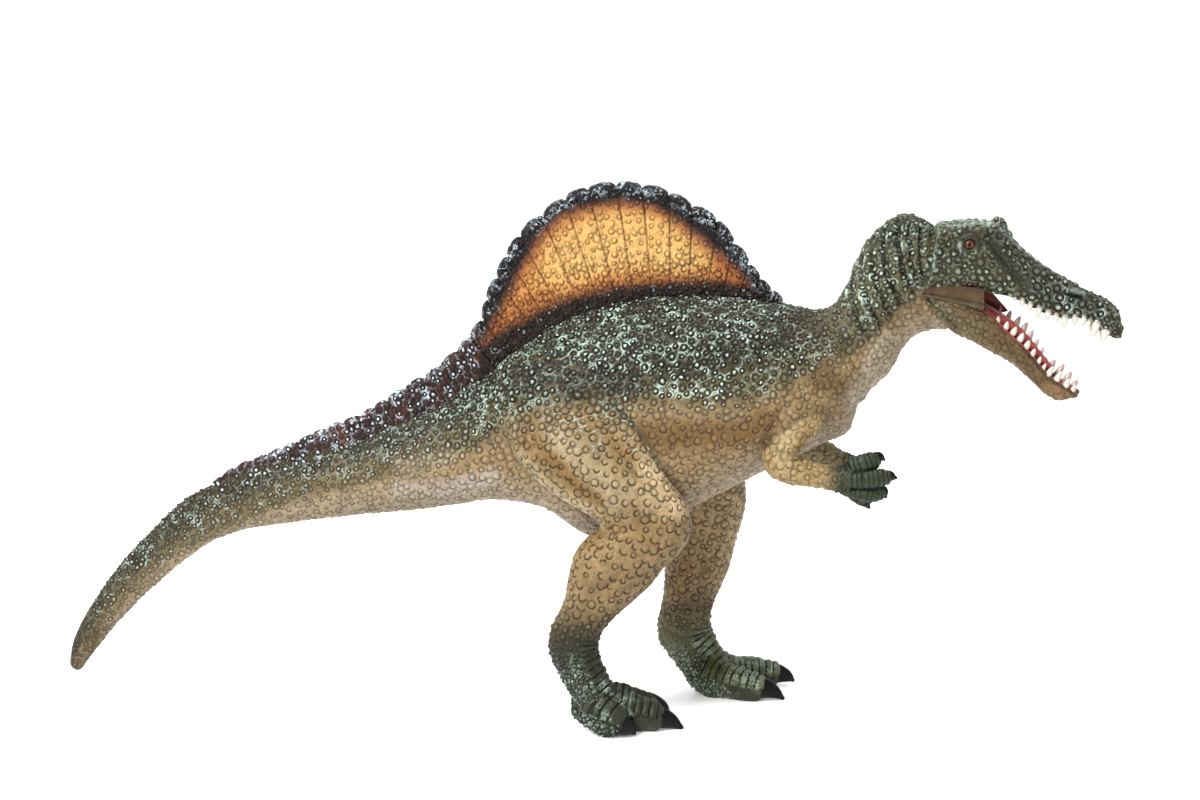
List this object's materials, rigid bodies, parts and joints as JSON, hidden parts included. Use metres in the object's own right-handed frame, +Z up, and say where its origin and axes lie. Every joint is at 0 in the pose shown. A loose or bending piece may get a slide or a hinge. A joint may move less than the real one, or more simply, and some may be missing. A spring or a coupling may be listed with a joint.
{
  "type": "toy spinosaurus figure",
  "caption": "Moulded, painted plastic toy spinosaurus with a tall orange back sail and an open, toothed jaw, standing on its hind feet.",
  "frame": {"origin": "on the floor, under the middle of the figure's bounding box", "axes": "+X from the tail to the snout, +Y to the animal's left, +Z up"},
  "size_m": [0.2645, 0.0575, 0.1344],
  "materials": {
    "skin": "hand-painted soft plastic, green-brown back over a tan belly",
    "sail_skin": "hand-painted soft plastic, orange with a dark rim",
    "head_skin": "hand-painted soft plastic, dark green with pale dry-brushed scales",
    "jaw_skin": "hand-painted soft plastic, brown",
    "limb_skin": "hand-painted soft plastic, tan running to dark green feet and hands",
    "tooth_paint": "ivory paint",
    "claw_paint": "black paint",
    "mouth_paint": "dark pink-red paint",
    "eye_paint": "orange-red iris with a black pupil, glossy"
  },
  "bodies": {
    "root": {"body": "skin", "sail": "sail_skin", "head": "head_skin", "lower_jaw": "jaw_skin", "right_arm": "limb_skin", "left_arm": "limb_skin", "right_leg": "limb_skin", "left_leg": "limb_skin"}
  },
  "joints": []
}
